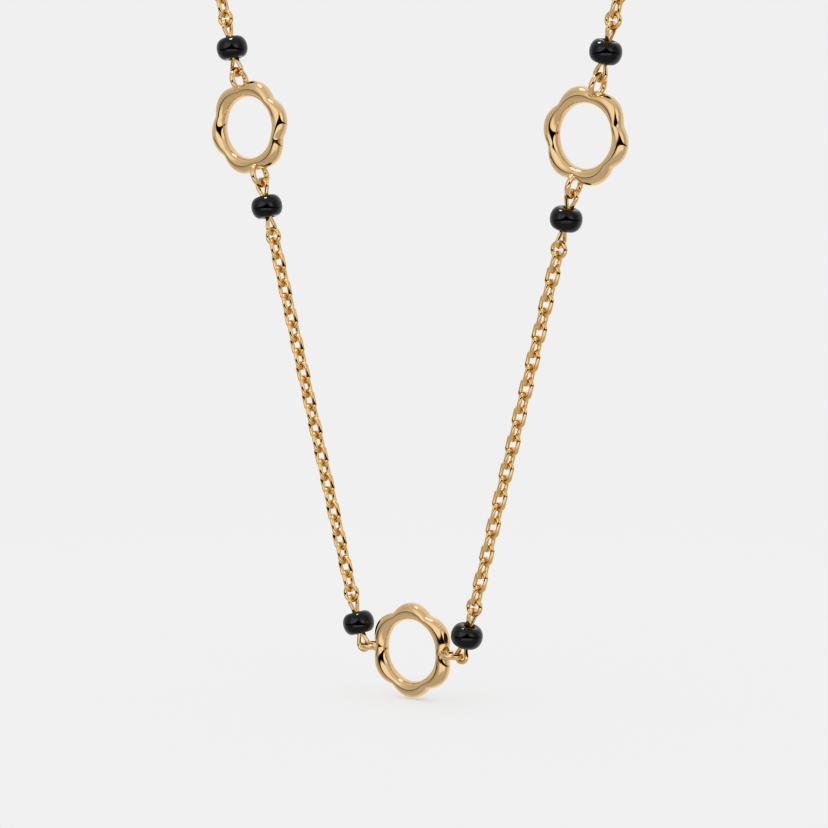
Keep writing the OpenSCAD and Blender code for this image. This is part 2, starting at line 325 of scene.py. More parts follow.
# %% The world
HORIZON_FROM, HORIZON_TO = -9, -5
BACKDROP = 1.035
world = bpy.data.worlds.new("studio")
world.use_nodes = True
tent = world.node_tree
tent.nodes.clear()
direction = add(tent, "ShaderNodeTexCoord").outputs["Generated"]
axes = add(tent, "ShaderNodeSeparateXYZ", {0: direction}).outputs
turn_round = calc(tent, "ARCTAN2", axes["X"], calc(tent, "MULTIPLY", axes["Y"], -1))
turn_round = calc(tent, "DEGREES", turn_round)
height_up = calc(tent, "DEGREES", calc(tent, "ARCSINE", axes["Z"]))
brightness = ramp(tent, height_up, HORIZON_FROM, HORIZON_TO, TABLE, WALL)
for left, right, bottom, top, side_soft, low_soft, top_soft, level in PANELS:
    panel = add(tent, "ShaderNodeGroup", {"Turn": turn_round, "Height": height_up}, node_tree=studio_panel)
    values = (left, right, bottom, top, side_soft, low_soft, top_soft)
    for socket, value in zip(list(panel.inputs)[2:], values):
        socket.default_value = value
    brightness = add(tent, "ShaderNodeMix", {0: panel.outputs[0], 2: brightness, 3: level}).outputs[0]
opening = add(tent, "ShaderNodeGroup", {"Turn": turn_round, "Height": height_up}, node_tree=tent_opening)
for label, value in OPENING.items():
    opening.inputs[label].default_value = value
brightness = calc(tent, "MULTIPLY", brightness, opening.outputs[0])
mirrored = add(tent, "ShaderNodeBackground", {"Color": brightness, "Strength": 1.0}).outputs[0]
seen = add(tent, "ShaderNodeBackground", {"Color": grey(BACKDROP), "Strength": 1.0}).outputs[0]
to_camera = add(tent, "ShaderNodeLightPath").outputs["Is Camera Ray"]
both = add(tent, "ShaderNodeMixShader", {0: to_camera, 1: mirrored, 2: seen}).outputs[0]
add(tent, "ShaderNodeOutputWorld", {0: both})
bpy.context.scene.world = world
bpy.context.scene.view_settings.view_transform = "Khronos PBR Neutral"
print("panels in the studio:", len(PANELS))

# %% [markdown]
# The floor and the light. A pale board lies just under the lowest flower and catches its small
# soft shadow. It fades out by its distance from the necklace, so no edge or horizon shows from
# any side. Half of the board's light comes from below, as on a light table, which keeps the
# shadow thin. The gold doesn't mirror the board: the tent already holds a floor for it. One broad
# sun from the upper left makes the shadow, and it stays out of the reflections, because a round
# sun mirrored in every link would look like frost. A small lamp above gives each bead its glint.

# %% Floor and light
FLOOR_GAP, FLOOR_HALF = 0.05, 400.0
FADE_FROM, FADE_TO = 60.0, 170.0
BOARD_TONES, BOARD_GRAIN = (0.346, 0.352), 900.0
LIT_BELOW = 0.462
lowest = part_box("flower_center")[0].z
floor_mesh = bpy.data.meshes.new("floor")
corners = [(x * FLOOR_HALF * MM, y * FLOOR_HALF * MM, 0) for x, y in ((-1, -1), (1, -1), (1, 1), (-1, 1))]
floor_mesh.from_pydata(corners, [], [(0, 1, 2, 3)])
floor = bpy.data.objects.new("floor", floor_mesh)
floor.location = (0, LOWEST_FLOWER.y * MM, lowest - FLOOR_GAP * MM)
bpy.context.scene.collection.objects.link(floor)
floor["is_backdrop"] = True

board = bpy.data.materials.new("pale board")
board.use_nodes = True
tree = board.node_tree
tree.nodes.clear()
place = add(tree, "ShaderNodeTexCoord").outputs["Object"]
distance = add(tree, "ShaderNodeVectorMath", {0: place}, operation="LENGTH").outputs["Value"]
cover = ramp(tree, distance, FADE_FROM * MM, FADE_TO * MM, 1.0, 0.0)
rays = add(tree, "ShaderNodeLightPath").outputs
plain = calc(tree, "SUBTRACT", 1.0, rays["Is Glossy Ray"])
grain = add(tree, "ShaderNodeTexNoise", {"Vector": place, "Scale": BOARD_GRAIN}).outputs["Fac"]
tone = blend_colours(tree, grain, grey(BOARD_TONES[0]), grey(BOARD_TONES[1]))
paper = add(tree, "ShaderNodeBsdfDiffuse", {"Color": tone}).outputs[0]
lit_below = add(tree, "ShaderNodeEmission", {"Color": grey(LIT_BELOW), "Strength": 1.0}).outputs[0]
paper = add(tree, "ShaderNodeAddShader", {0: paper, 1: lit_below}).outputs[0]
clear = add(tree, "ShaderNodeBsdfTransparent").outputs[0]
mixed = add(tree, "ShaderNodeMixShader", {0: calc(tree, "MULTIPLY", cover, plain), 1: clear, 2: paper})
add(tree, "ShaderNodeOutputMaterial", {0: mixed.outputs[0]})
floor_mesh.materials.append(board)

SUN_TURN, SUN_HEIGHT, SUN_BREADTH = math.radians(-45), math.radians(70), math.radians(110)
SUN_STRENGTH = 2.6
sun_light = bpy.data.lights.new("broad sun", "SUN")
sun_light.energy = SUN_STRENGTH
sun_light.angle = SUN_BREADTH
sun = bpy.data.objects.new("broad sun", sun_light)
sun_from = Vector((
    math.sin(SUN_TURN) * math.cos(SUN_HEIGHT),
    -math.cos(SUN_TURN) * math.cos(SUN_HEIGHT),
    math.sin(SUN_HEIGHT),
))
sun.rotation_euler = sun_from.to_track_quat("Z", "Y").to_euler()
sun.visible_glossy = False
bpy.context.scene.collection.objects.link(sun)

LAMP_FROM_FLOWER, LAMP_AIM = Vector((-20.8, -22, 153)), Vector((0, 0, 33))
LAMP_WIDTH, LAMP_POWER = 30.0, 0.045
lamp_light = bpy.data.lights.new("lamp above", "AREA")
lamp_light.shape = "DISK"
lamp_light.size = LAMP_WIDTH * MM
lamp_light.energy = LAMP_POWER
lamp = bpy.data.objects.new("lamp above", lamp_light)
lamp.location = (LOWEST_FLOWER + LAMP_FROM_FLOWER) * MM
lamp.rotation_euler = (LAMP_FROM_FLOWER - LAMP_AIM).to_track_quat("Z", "Y").to_euler()
lamp.visible_camera = False
lamp.visible_diffuse = False
bpy.context.scene.collection.objects.link(lamp)
print("floor at", round(floor.location.z / MM, 2), "mm")

# %% [markdown]
# Polish. No polished surface is perfectly even: the buffing wheel leaves a faint wave in the
# metal, and the tone and the gloss wander a little. Gold and stone share this effect, each at
# its own scale and strength, so it is one group: two soft noises on the piece's own place give
# the tone, the gloss and a height for the bump.


# %% The polish group
PATCH_FROM, PATCH_TO = 0.35, 0.65


def make_polish_group():
    inputs = [("Tint", "colour"), ("Deep tint", "colour"), ("Gloss", "float"), ("Dull gloss", "float"),
              ("Patch scale", "float"), ("Wave scale", "float")]
    outputs = [("Tint", "colour"), ("Roughness", "float"), ("Wave", "float")]
    tree, given, out = new_group("polish", "ShaderNodeTree", inputs, outputs)
    place = add(tree, "ShaderNodeTexCoord").outputs["Object"]
    patches = add(tree, "ShaderNodeTexNoise", {"Vector": place, "Scale": given["Patch scale"]})
    waves = add(tree, "ShaderNodeTexNoise", {"Vector": place, "Scale": given["Wave scale"]})
    share = ramp(tree, patches.outputs["Fac"], PATCH_FROM, PATCH_TO)
    tree.links.new(blend_colours(tree, share, given["Tint"], given["Deep tint"]), out["Tint"])
    spread = calc(tree, "SUBTRACT", given["Dull gloss"], given["Gloss"])
    tree.links.new(calc(tree, "MULTIPLY_ADD", share, spread, given["Gloss"]), out["Roughness"])
    tree.links.new(waves.outputs["Fac"], out["Wave"])
    return tree


polish = make_polish_group()


def polished_material(name, values, wave_height, metallic, **shader_values):
    """A material with the polish group's tint, roughness and wave, and plain values on its shader."""
    material = bpy.data.materials.new(name)
    material.use_nodes = True
    tree = material.node_tree
    tree.nodes.clear()
    finish = add(tree, "ShaderNodeGroup", node_tree=polish)
    for label, value in values.items():
        finish.inputs[label].default_value = value
    bump_inputs = {"Height": finish.outputs["Wave"], "Distance": wave_height * MM, "Strength": 1.0}
    bump = add(tree, "ShaderNodeBump", bump_inputs)
    shader_inputs = {
        "Base Color": finish.outputs["Tint"], "Roughness": finish.outputs["Roughness"],
        "Normal": bump.outputs[0], "Metallic": metallic,
    }
    for label, value in shader_values.items():
        shader_inputs[label.replace("_", " ")] = value
    shader = add(tree, "ShaderNodeBsdfPrincipled", shader_inputs)
    add(tree, "ShaderNodeOutputMaterial", {0: shader.outputs[0]})
    return material


GOLD, DEEP_GOLD = (0.78, 0.56, 0.32, 1), (0.76, 0.535, 0.295, 1)
CUT_GOLD, DEEP_CUT_GOLD = (0.78, 0.545, 0.29, 1), (0.75, 0.51, 0.255, 1)
polished_gold = polished_material(
    "polished gold",
    {"Tint": GOLD, "Deep tint": DEEP_GOLD, "Gloss": 0.045, "Dull gloss": 0.085,
     "Patch scale": 420.0, "Wave scale": 900.0},
    0.004, 1.0)
cut_gold = polished_material(
    "cut gold",
    {"Tint": CUT_GOLD, "Deep tint": DEEP_CUT_GOLD, "Gloss": 0.04, "Dull gloss": 0.08,
     "Patch scale": 900.0, "Wave scale": 900.0},
    0.002, 1.0)
black_stone = polished_material(
    "black stone",
    {"Tint": (0.012, 0.012, 0.0135, 1), "Deep tint": (0.009, 0.009, 0.010, 1), "Gloss": 0.012,
     "Dull gloss": 0.025, "Patch scale": 600.0, "Wave scale": 700.0},
    0.0015, 0.0, IOR=1.54)
print("materials:", polished_gold.name, "|", cut_gold.name, "|", black_stone.name)

# %% [markdown]
# Putting a piece in its place. A piece is modelled round its own middle, in millimetres, then
# moved into the necklace with one matrix, which also brings it to metres. Its object stays at
# the origin, so patterns on Object coordinates never slide. The left arm's matrix holds a
# mirror, which turns a surface inside out, so every piece's faces are turned outwards again
# after its seams are merged.


# %% Placing helpers
SEAM = 0.0001


def stand_at(place, lean=0.0, mirrored=False):
    """The matrix that stands a piece at a place seen from the lowest flower, leaning outwards."""
    side = Matrix.Scale(-1, 4, (1, 0, 0)) if mirrored else Matrix.Identity(4)
    turned = Matrix.Rotation(math.radians(lean), 4, "Y")
    moved = Matrix.Translation(place - NAPE_FROM_FLOWER)
    return Matrix.Scale(MM, 4) @ side @ moved @ turned


def settle(mesh, matrix):
    """Moves a mesh into its place, closes its seams and turns its faces outwards, all smooth."""
    mesh.transform(matrix)
    work = bmesh.new()
    work.from_mesh(mesh)
    bmesh.ops.remove_doubles(work, verts=work.verts, dist=SEAM * MM)
    bmesh.ops.recalc_face_normals(work, faces=work.faces)
    for face in work.faces:
        face.smooth = True
    work.to_mesh(mesh)
    work.free()
    return mesh


def show(name, mesh, slot, *nodes):
    """Makes a finished piece of a mesh: it rides on the necklace and stands for its CAD nodes."""
    piece = bpy.data.objects.new(name, mesh)
    bpy.context.scene.collection.objects.link(piece)
    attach(piece, "root")
    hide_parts(*nodes)
    print(name, len(mesh.polygons), "faces")


def grow(name, start, tree, values):
    """Runs a geometry tree on a start mesh and returns the result as a plain mesh."""
    seedling = bpy.data.objects.new(name, start)
    bpy.context.scene.collection.objects.link(seedling)
    modifier = seedling.modifiers.new("grow", "NODES")
    modifier.node_group = tree
    for item in tree.interface.items_tree:
        if item.in_out == "INPUT" and item.name in values:
            modifier[item.identifier] = values[item.name]
    bpy.context.view_layer.update()
    evaluated = seedling.evaluated_get(bpy.context.evaluated_depsgraph_get())
    mesh = bpy.data.meshes.new_from_object(evaluated)
    seedling.modifiers.remove(modifier)
    bpy.data.objects.remove(seedling)
    mesh.name = name
    return mesh


# Each side's name, and whether it is the mirrored one
SIDES = (("left", True), ("right", False))

# %% [markdown]
# The flower. The real one is cast as a puffed ring with six soft lobes and polished all over,
# with a small ring soldered at two opposite valleys. It could be sculpted, or carved out of a
# torus, but its outline follows a rule, a wave that is broad at the lobes and tight in the
# valleys, so geometry nodes bend a flat grid straight into shape: one side of the grid goes
# round the flower and the other round its section. The grid is fine, because mirror-bright
# gold shows every facet. Where a ring meets the flower, solder has run into the corner: one
# drop fills the valley, and small ones lie round the ring's two feet.


# %% The flower's geometry tree
RING_STEPS, RING_SIDES = 64, 20
SOLDER_LEAN = math.radians(40)
SOLDER_SIZE = (0.36, 0.17, 0.27)
FILL_SIZE = (0.22, 0.4, 0.22)
DROPLET_SIZE = (0.15, 0.13, 0.12)
DROP_SEGMENTS, DROP_RINGS = 28, 18


def make_flower_tree():
    names = ["Hole radius", "Lobe radius", "Valley radius", "Depth", "Valley softness", "Squareness",
             "Lobes", "Ring radius", "Ring wire", "Ring place", "Solder place", "Solder depth",
             "Solder spread", "Fill place"]
    inputs = [("Geometry", "geometry"), ("Steps round", "int"), ("Steps across", "int")]
    inputs += [(n, "float") for n in names] + [("Material", "material")]
    tree, given, out = new_group("flower link", "GeometryNodeTree", inputs, [("Geometry", "geometry")])
    columns = calc(tree, "ADD", given["Steps round"], 1)
    rows = calc(tree, "ADD", given["Steps across"], 1)
    grid = add(tree, "GeometryNodeMeshGrid", {"Vertices X": columns, "Vertices Y": rows})
    place = add(tree, "GeometryNodeInputPosition").outputs[0]
    flat = add(tree, "ShaderNodeSeparateXYZ", {0: place}).outputs
    angle = calc(tree, "MULTIPLY", calc(tree, "ADD", flat["X"], 0.5), math.tau)
    turn = calc(tree, "MULTIPLY", calc(tree, "ADD", flat["Y"], 0.5), math.tau)

    phase = calc(tree, "MULTIPLY", angle, calc(tree, "DIVIDE", given["Lobes"], 2))
    wave = calc(tree, "SINE", phase)
    low = given["Valley softness"]
    low_squared = calc(tree, "MULTIPLY", low, low)
    softened = calc(tree, "SQRT", calc(tree, "MULTIPLY_ADD", wave, wave, low_squared))
    full = calc(tree, "SUBTRACT", calc(tree, "SQRT", calc(tree, "ADD", low_squared, 1)), low)
    swell = calc(tree, "DIVIDE", calc(tree, "SUBTRACT", softened, low), full)

    lobe_rise = calc(tree, "SUBTRACT", given["Lobe radius"], given["Valley radius"])
    outer = calc(tree, "MULTIPLY_ADD", lobe_rise, swell, given["Valley radius"])
    half_depth = calc(tree, "DIVIDE", given["Depth"], 2)
    power = calc(tree, "DIVIDE", 2, given["Squareness"])

    def rounded(kind):
        wave_value = calc(tree, kind, turn)
        size = calc(tree, "POWER", calc(tree, "ABSOLUTE", wave_value), power)
        return calc(tree, "MULTIPLY", calc(tree, "SIGN", wave_value), size)

    middle = calc(tree, "DIVIDE", calc(tree, "ADD", outer, given["Hole radius"]), 2)
    half_width = calc(tree, "DIVIDE", calc(tree, "SUBTRACT", outer, given["Hole radius"]), 2)
    radius = calc(tree, "MULTIPLY_ADD", half_width, rounded("COSINE"), middle)
    skin = add(tree, "ShaderNodeCombineXYZ", {
        "X": calc(tree, "MULTIPLY", radius, calc(tree, "COSINE", angle)),
        "Y": calc(tree, "MULTIPLY", calc(tree, "MULTIPLY", half_depth, rounded("SINE")), -1),
        "Z": calc(tree, "MULTIPLY", radius, calc(tree, "SINE", angle)),
    })
    puffed = add(tree, "GeometryNodeSetPosition",
                 {"Geometry": grid.outputs[0], "Position": skin.outputs[0]})

    circle = add(tree, "GeometryNodeCurvePrimitiveCircle",
                 {"Resolution": RING_STEPS, "Radius": given["Ring radius"]})
    wire_half = calc(tree, "DIVIDE", given["Ring wire"], 2)
    section = add(tree, "GeometryNodeCurvePrimitiveCircle", {"Resolution": RING_SIDES, "Radius": wire_half})
    ring = add(tree, "GeometryNodeCurveToMesh", {
        "Curve": circle.outputs[0], "Profile Curve": section.outputs[0]})
    joined = add(tree, "GeometryNodeJoinGeometry")
    tree.links.new(puffed.outputs[0], joined.inputs[0])
    drop = add(tree, "GeometryNodeMeshUVSphere",
               {"Segments": DROP_SEGMENTS, "Rings": DROP_RINGS, "Radius": 1.0})

    def solder_on(shape, x, y=0.0, z=0.0, size=(1, 1, 1), lean=0.0):
        """Joins a copy of a shape to the flower, at its place, with its size and its lean."""
        spot = add(tree, "ShaderNodeCombineXYZ", {"X": x, "Y": y, "Z": z}).outputs[0]
        soldered = add(tree, "GeometryNodeTransform", {
            "Geometry": shape.outputs[0], "Translation": spot, "Rotation": (0, 0, lean), "Scale": size})
        tree.links.new(soldered.outputs[0], joined.inputs[0])

    for side in (-1, 1):
        solder_on(ring, calc(tree, "MULTIPLY", given["Ring place"], side))
        solder_on(drop, calc(tree, "MULTIPLY", given["Fill place"], side), size=FILL_SIZE)
        foot = calc(tree, "MULTIPLY", given["Solder place"], side)
        for face in (-1, 1):
            depth = calc(tree, "MULTIPLY", given["Solder depth"], face)
            solder_on(drop, foot, depth, size=SOLDER_SIZE, lean=side * face * SOLDER_LEAN)
            for edge in (-1, 1):
                spread = calc(tree, "MULTIPLY", given["Solder spread"], edge)
                solder_on(drop, foot, depth, spread, size=DROPLET_SIZE)
    real = add(tree, "GeometryNodeRealizeInstances", {"Geometry": joined.outputs[0]})
    dressed = add(tree, "GeometryNodeSetMaterial", {
        "Geometry": real.outputs[0], "Material": given["Material"]})
    tree.links.new(dressed.outputs[0], out["Geometry"])
    return tree


flower_tree = make_flower_tree()
FLOWER_STEPS, SECTION_STEPS = 360, 96
SOLDER_AT, SOLDER_DEPTH, SOLDER_SPREAD, FILL_AT = 3.78, 0.66, 0.26, 3.96
flower_values = {
    "Steps round": FLOWER_STEPS, "Steps across": SECTION_STEPS, "Hole radius": HOLE_R,
    "Lobe radius": LOBE_R, "Valley radius": VALLEY_R, "Depth": FLOWER_DEPTH,
    "Valley softness": VALLEY_SOFT, "Squareness": SQUARENESS, "Lobes": float(LOBES),
    "Ring radius": SHOWN_RING_R, "Ring wire": SHOWN_RING, "Ring place": RING_AT,
    "Solder place": SOLDER_AT, "Solder depth": SOLDER_DEPTH, "Solder spread": SOLDER_SPREAD,
    "Fill place": FILL_AT, "Material": polished_gold,
}

# %% [markdown]
# The three flowers. The lowest hangs level between its two beads. The other two are turned with
# their arms, so that their rings lie in line with the chain, and the left one is mirrored.

# %% The three flowers
FLOWERS = {
    "center": stand_at(Vector((0, 0, 0))),
    "left": stand_at(FLOWER_AT, ARM_LEAN - 90, True),
    "right": stand_at(FLOWER_AT, ARM_LEAN - 90),
}
for which, matrix in FLOWERS.items():
    grown = grow(f"flower_{which}_metal", bpy.data.meshes.new("start"), flower_tree, flower_values)
    show(f"flower_{which}_metal", settle(grown, matrix), "gold", f"flower_{which}")

# %% [markdown]
# The beads. Each is a black stone turned to a plump drum: its side bulges, its two faces are
# soft cushions that sink into the drilled hole. A lathe is the natural tool for it, so the
# profile is drawn once, as a rounded outer curve, the lip and the bore, and spun.


# %% The beads
def lathe(name, profile, steps, closed):
    """Spins a profile of radius and height pairs round the upright axis."""
    mesh = bpy.data.meshes.new(name)
    points = []
    for radius, height in profile:
        for k in range(steps):
            angle = math.tau * k / steps
            points.append((radius * math.cos(angle), radius * math.sin(angle), height))
    count = len(profile)
    faces = []
    for i in range(count if closed else count - 1):
        for k in range(steps):
            here, there = i * steps, (i + 1) % count * steps
            faces.append((here + k, here + (k + 1) % steps, there + (k + 1) % steps, there + k))
    mesh.from_pydata(points, [], faces)
    return mesh


CROWN_R, DIMPLE = 0.78, 0.26
BEAD_STEPS, CURVE_STEPS, LIP_STEPS = 72, 28, 9
outer_curve = [
    (CROWN_R + (BEAD_D / 2 - CROWN_R) * math.cos(turn), BEAD_H / 2 * math.sin(turn))
    for turn in (math.radians(-90 + 180 * k / CURVE_STEPS) for k in range(CURVE_STEPS + 1))
]
lip = [
    (CROWN_R - (CROWN_R - BEAD_HOLE_R) * math.sin(turn), BEAD_H / 2 - DIMPLE * (1 - math.cos(turn)))
    for turn in (math.radians(90 * k / LIP_STEPS) for k in range(1, LIP_STEPS + 1))
]
bead_profile = outer_curve + lip + [(r, -z) for r, z in reversed(lip)]
BEADS = {"low": (LOW_BEAD, LOW_LEAN), "mid": (MID_BEAD, ARM_LEAN), "top": (TOP_BEAD, ARM_LEAN)}
for level, (place, lean) in BEADS.items():
    for side, mirrored in SIDES:
        stone = lathe(f"bead_{level}_{side}_stone", bead_profile, BEAD_STEPS, closed=True)
        stone.materials.append(black_stone)
        settle(stone, stand_at(place, lean, mirrored))
        show(stone.name, stone, "black_bead", f"bead_{level}_{side}")

# %% [markdown]
# The pins. A wire runs through each bead and ends in two teardrop loops, set a quarter turn
# apart, that hold the flower's ring and the chain's end ring. Bending a round wire is what a
# curve with a bevel does, so each loop is a curve that leaves the hole, goes round, and comes
# back, and it is made a mesh at once.


# %% Bent wire
WIRE_ROUNDNESS = 4


def bent_wire(name, points, thickness, cyclic=False):
    """A round wire along a line of points, as a mesh."""
    curve = bpy.data.curves.new(name, "CURVE")
    curve.dimensions = "3D"
    curve.bevel_depth = thickness / 2
    curve.bevel_resolution = WIRE_ROUNDNESS
    curve.use_fill_caps = True
    spline = curve.splines.new("POLY")
    spline.points.add(len(points) - 1)
    for place, point in zip(spline.points, points):
        place.co = (*point, 1)
    spline.use_cyclic_u = cyclic
    wire = bpy.data.objects.new(name, curve)
    bpy.context.scene.collection.objects.link(wire)
    bpy.context.view_layer.update()
    evaluated = wire.evaluated_get(bpy.context.evaluated_depsgraph_get())
    mesh = bpy.data.meshes.new_from_object(evaluated)
    bpy.data.objects.remove(wire)
    return mesh


LOOP_STEPS, LEG_STEPS = 32, 4


def loop_points():
    """A teardrop loop above the bead's middle, in the plane of X and Z."""
    whole_turn = math.pi + 2 * LOOP_SPREAD
    round_end = [
        Vector((LOOP_R * math.cos(a), 0, LOOP_MIDDLE + LOOP_R * math.sin(a)))
        for a in (-LOOP_SPREAD + whole_turn * k / LOOP_STEPS for k in range(LOOP_STEPS + 1))
    ]
    foot = Vector((0, 0, LOOP_FOOT))
    rise = [foot.lerp(round_end[0], k / LEG_STEPS) for k in range(LEG_STEPS)]
    fall = [round_end[-1].lerp(foot, k / LEG_STEPS) for k in range(1, LEG_STEPS + 1)]
    return rise + round_end + fall


def join_meshes(name, meshes):
    """One mesh made of several."""
    work = bmesh.new()
    for mesh in meshes:
        work.from_mesh(mesh)
    whole = bpy.data.meshes.new(name)
    work.to_mesh(whole)
    work.free()
    return whole


def make_pin(name):
    """A pin round its bead's middle: the upper loop lies across the arms, the lower one along them."""
    upper = bent_wire("upper loop", loop_points(), SHOWN_PIN)
    upper.transform(Matrix.Rotation(math.pi / 2, 4, "Z"))
    lower = bent_wire("lower loop", loop_points(), SHOWN_PIN)
    lower.transform(Matrix.Scale(-1, 4, (0, 0, 1)))
    half = LOOP_FOOT + PIN_WIRE / 2
    shank = bent_wire("shank", [Vector((0, 0, -half)), Vector((0, 0, half))], 2 * SHANK_R)
    return join_meshes(name, [upper, lower, shank])


# %% [markdown]
# The six pins. Each loop has to face the piece that it holds: one hooks into a flower's ring and
# the other into a chain's end ring, a quarter turn apart. A pin whose flower is above it is made
# upside down, so that the same shape serves all six.

# %% The six pins
for level, (place, lean) in BEADS.items():
    lean = lean + 180 if level == "mid" else lean
    for side, mirrored in SIDES:
        pin = make_pin(f"pin_{level}_{side}_wire")
        pin.materials.append(polished_gold)
        settle(pin, stand_at(place, lean, mirrored))
        show(pin.name, pin, "gold", f"pin_{level}_{side}")

# %% [markdown]
# The chains. A diamond-cut cable chain: every link is bent from wire with its corners cut off,
# and hooks through the next one a quarter turn on. There are nearly three hundred links, all
# alike, so geometry nodes bend one, walk along a line, and set a copy down at each step. The
# line carries a sideways direction at every point, so the links turn with it round the shoulder
# and behind the neck without any twist of their own. A link has few faces, because it is
# repeated so often and its real cuts are flat.


# %% The chain's geometry tree
LINK_STEPS, HOOP_STEPS, HOOP_SIDES = 12, 40, 16


def make_chain_tree():
    names = ["First place", "Pitch", "Width", "Reach", "Wire", "Corner cut", "Ring radius"]
    inputs = [("Geometry", "geometry"), ("Links", "int"), ("First turned", "int"), ("End rings", "int")]
    inputs += [(n, "float") for n in names] + [("Material", "material")]
    tree, given, out = new_group("cable chain", "GeometryNodeTree", inputs, [("Geometry", "geometry")])
    route = add(tree, "GeometryNodeMeshToCurve", {"Mesh": given["Geometry"]}).outputs[0]
    across = add(tree, "GeometryNodeInputNamedAttribute", {"Name": "across"}, data_type="FLOAT_VECTOR")
    index = add(tree, "GeometryNodeInputIndex").outputs[0]

    def strung(count, along, quarter, shape):
        """Copies of a shape at places along the route, upright along it."""
        spots = add(tree, "GeometryNodePoints", {"Count": count}).outputs[0]
        found = add(tree, "GeometryNodeSampleCurve",
                    {"Curves": route, "Value": across.outputs[0], "Length": along},
                    data_type="FLOAT_VECTOR", mode="LENGTH", use_all_curves=True)
        upright = add(tree, "FunctionNodeAxesToRotation",
                      {"Primary Axis": found.outputs["Tangent"], "Secondary Axis": found.outputs["Value"]},
                      primary_axis="Z", secondary_axis="Y")
        spin = add(tree, "ShaderNodeCombineXYZ", {"Z": quarter})
        spin = add(tree, "FunctionNodeEulerToRotation", {0: spin.outputs[0]})
        turned = add(tree, "FunctionNodeRotateRotation",
                     {"Rotation": upright.outputs[0], "Rotate By": spin.outputs[0]}, rotation_space="LOCAL")
        moved = add(tree, "GeometryNodeSetPosition",
                    {"Geometry": spots, "Position": found.outputs["Position"]})
        copies = add(tree, "GeometryNodeInstanceOnPoints",
                     {"Points": moved.outputs[0], "Instance": shape, "Rotation": turned.outputs[0]})
        return copies.outputs[0]

    wire_half = calc(tree, "DIVIDE", given["Wire"], 2)
    flat_half = calc(tree, "SUBTRACT", wire_half, given["Corner cut"])
    corner = calc(tree, "SQRT", calc(tree, "ADD", calc(tree, "MULTIPLY", wire_half, wire_half),
                                     calc(tree, "MULTIPLY", flat_half, flat_half)))
    octagon = add(tree, "GeometryNodeCurvePrimitiveCircle", {"Resolution": 8, "Radius": 1.0})
    lean_angle = calc(tree, "ARCTAN2", flat_half, wire_half)
    eighth = calc(tree, "FLOOR", calc(tree, "DIVIDE", calc(tree, "ADD", index, 1), 2))
    odd = calc(tree, "SUBTRACT", calc(tree, "MULTIPLY", calc(tree, "MODULO", index, 2), 2), 1)
    base_angle = calc(tree, "MULTIPLY", eighth, math.pi / 2)
    corner_angle = calc(tree, "SUBTRACT", base_angle, calc(tree, "MULTIPLY", odd, lean_angle))
    cut = add(tree, "ShaderNodeCombineXYZ", {
        "X": calc(tree, "MULTIPLY", corner, calc(tree, "COSINE", corner_angle)),
        "Y": calc(tree, "MULTIPLY", corner, calc(tree, "SINE", corner_angle)),
    })
    section = add(tree, "GeometryNodeSetPosition",
                  {"Geometry": octagon.outputs[0], "Position": cut.outputs[0]})

    bend = calc(tree, "DIVIDE", calc(tree, "SUBTRACT", given["Width"], given["Wire"]), 2)
    bar_half = calc(tree, "SUBTRACT", given["Reach"], bend)
    half_step = math.pi / LINK_STEPS
    oval = add(tree, "GeometryNodeCurvePrimitiveCircle", {"Resolution": LINK_STEPS, "Radius": 1.0})
    step_angle = calc(tree, "MULTIPLY_ADD", index, 2 * half_step, half_step)
    bend_out = calc(tree, "DIVIDE", bend, math.cos(half_step))
    rise = calc(tree, "SINE", step_angle)
    bar_shift = calc(tree, "MULTIPLY", calc(tree, "SIGN", rise), bar_half)
    up = calc(tree, "MULTIPLY_ADD", rise, bend_out, bar_shift)
    bent = add(tree, "ShaderNodeCombineXYZ", {
        "X": calc(tree, "MULTIPLY", bend_out, calc(tree, "COSINE", step_angle)), "Y": up})
    stadium = add(tree, "GeometryNodeSetPosition",
                  {"Geometry": oval.outputs[0], "Position": bent.outputs[0]})
    link = add(tree, "GeometryNodeCurveToMesh",
               {"Curve": stadium.outputs[0], "Profile Curve": section.outputs[0]})
    upright_link = add(tree, "GeometryNodeTransform",
                       {"Geometry": link.outputs[0], "Rotation": (math.pi / 2, 0, 0)})

    along = calc(tree, "MULTIPLY_ADD", index, given["Pitch"], given["First place"])
    turned_index = calc(tree, "MODULO", calc(tree, "ADD", index, given["First turned"]), 2)
    quarter = calc(tree, "MULTIPLY", turned_index, math.pi / 2)
    links = strung(given["Links"], along, quarter, upright_link.outputs[0])

    round_wire = add(tree, "GeometryNodeCurvePrimitiveCircle",
                     {"Resolution": HOOP_SIDES, "Radius": wire_half})
    hoop = add(tree, "GeometryNodeCurvePrimitiveCircle",
               {"Resolution": HOOP_STEPS, "Radius": given["Ring radius"]})
    ring = add(tree, "GeometryNodeCurveToMesh",
               {"Curve": hoop.outputs[0], "Profile Curve": round_wire.outputs[0]})
    smooth_ring = add(tree, "GeometryNodeSetShadeSmooth", {"Geometry": ring.outputs[0]})
    upright_ring = add(tree, "GeometryNodeTransform",
                       {"Geometry": smooth_ring.outputs[0], "Rotation": (math.pi / 2, 0, 0)})
    whole = add(tree, "GeometryNodeCurveLength", {0: route}).outputs[0]
    rings = strung(given["End rings"], calc(tree, "MULTIPLY", index, whole), 0.0, upright_ring.outputs[0])

    joined = add(tree, "GeometryNodeJoinGeometry")
    tree.links.new(links, joined.inputs[0])
    tree.links.new(rings, joined.inputs[0])
    real = add(tree, "GeometryNodeRealizeInstances", {"Geometry": joined.outputs[0]})
    dressed = add(tree, "GeometryNodeSetMaterial", {
        "Geometry": real.outputs[0], "Material": given["Material"]})
    tree.links.new(dressed.outputs[0], out["Geometry"])
    return tree


chain_tree = make_chain_tree()

